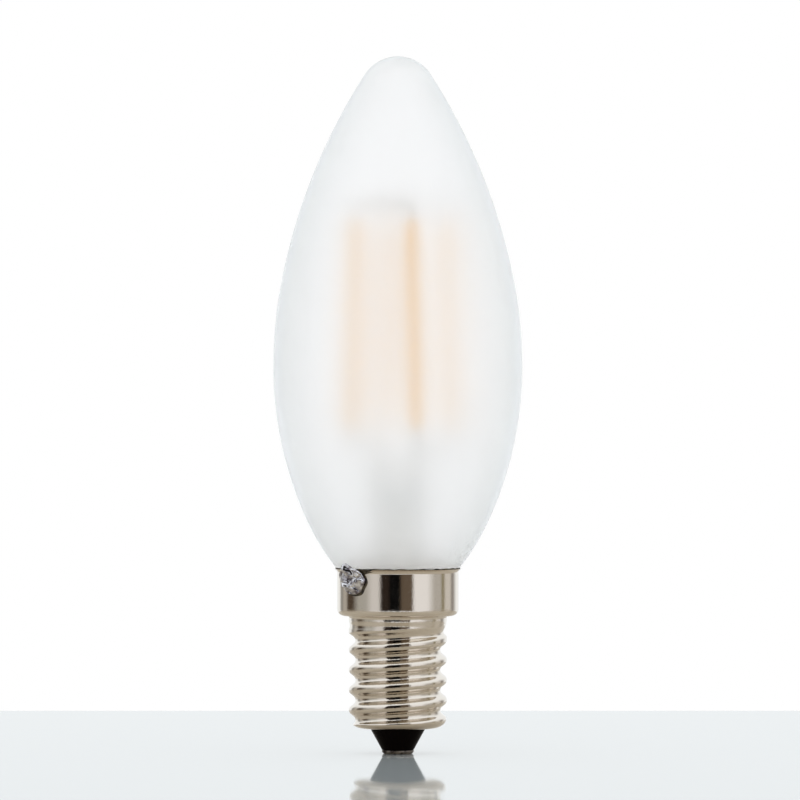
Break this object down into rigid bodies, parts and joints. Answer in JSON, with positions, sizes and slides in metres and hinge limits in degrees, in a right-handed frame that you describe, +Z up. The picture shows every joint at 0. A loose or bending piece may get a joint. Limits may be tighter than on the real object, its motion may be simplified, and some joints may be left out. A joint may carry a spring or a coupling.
{
  "type": "candle bulb",
  "caption": "Frosted glass candle bulb with upright LED filaments inside, cemented into a small nickel screw cap with a black insulator and centre contact.",
  "frame": {"origin": "middle of the centre contact's flat lower face, on the bulb's axis", "axes": "+Z up the bulb's axis to the tip of the glass; -Y is the front, with the side solder to its left at -X"},
  "size_m": [0.035, 0.035, 0.098],
  "materials": {
    "frosted_glass": "blown soda glass, frosted to a soft milky white",
    "clear_glass": "clear drawn and pressed glass",
    "nickel_plate": "bright nickel plate on thin sheet brass",
    "black_glass": "glossy black cap glass",
    "contact_metal": "plated contact metal",
    "solder": "wrinkled tin solder",
    "cement": "matt capping cement",
    "phosphor": "yellow phosphor in silicone",
    "tab_metal": "plain strip metal",
    "wire": "bare drawn wire",
    "circuit_board": "lacquered board",
    "black_moulding": "black moulding resin",
    "chip_ceramic": "glazed chip resistor",
    "capacitor_sleeve": "shrunk sleeve on an aluminium can",
    "resistor_lacquer": "lacquered ceramic body"
  },
  "bodies": {
    "root": {"glass_envelope": "frosted_glass", "glass_stem": "clear_glass", "filament_front_left": "phosphor", "filament_front_right": "phosphor", "filament_rear_left": "phosphor", "filament_rear_right": "phosphor", "tab_front_left_bottom": "tab_metal", "tab_front_left_top": "tab_metal", "tab_front_right_bottom": "tab_metal", "tab_front_right_top": "tab_metal", "tab_rear_left_bottom": "tab_metal", "tab_rear_left_top": "tab_metal", "tab_rear_right_bottom": "tab_metal", "tab_rear_right_top": "tab_metal", "top_bridge_front": "wire", "top_bridge_rear": "wire", "crossbar_left": "wire", "crossbar_right": "wire", "lead_wire_left": "wire", "lead_wire_right": "wire", "cap_shell": "nickel_plate", "side_solder": "solder", "capping_cement": "cement", "cap_insulator": "black_glass", "centre_contact": "contact_metal", "contact_solder": "solder", "contact_wire": "wire", "fuse_resistor": "resistor_lacquer", "resistor_lead": "wire", "driver_board": "circuit_board", "bridge_rectifier": "black_moulding", "driver_chip": "black_moulding", "chip_resistors": "chip_ceramic", "smoothing_capacitor": "capacitor_sleeve", "capacitor_leads": "wire", "board_solder": "solder", "shell_wire": "wire"}
  },
  "joints": []
}
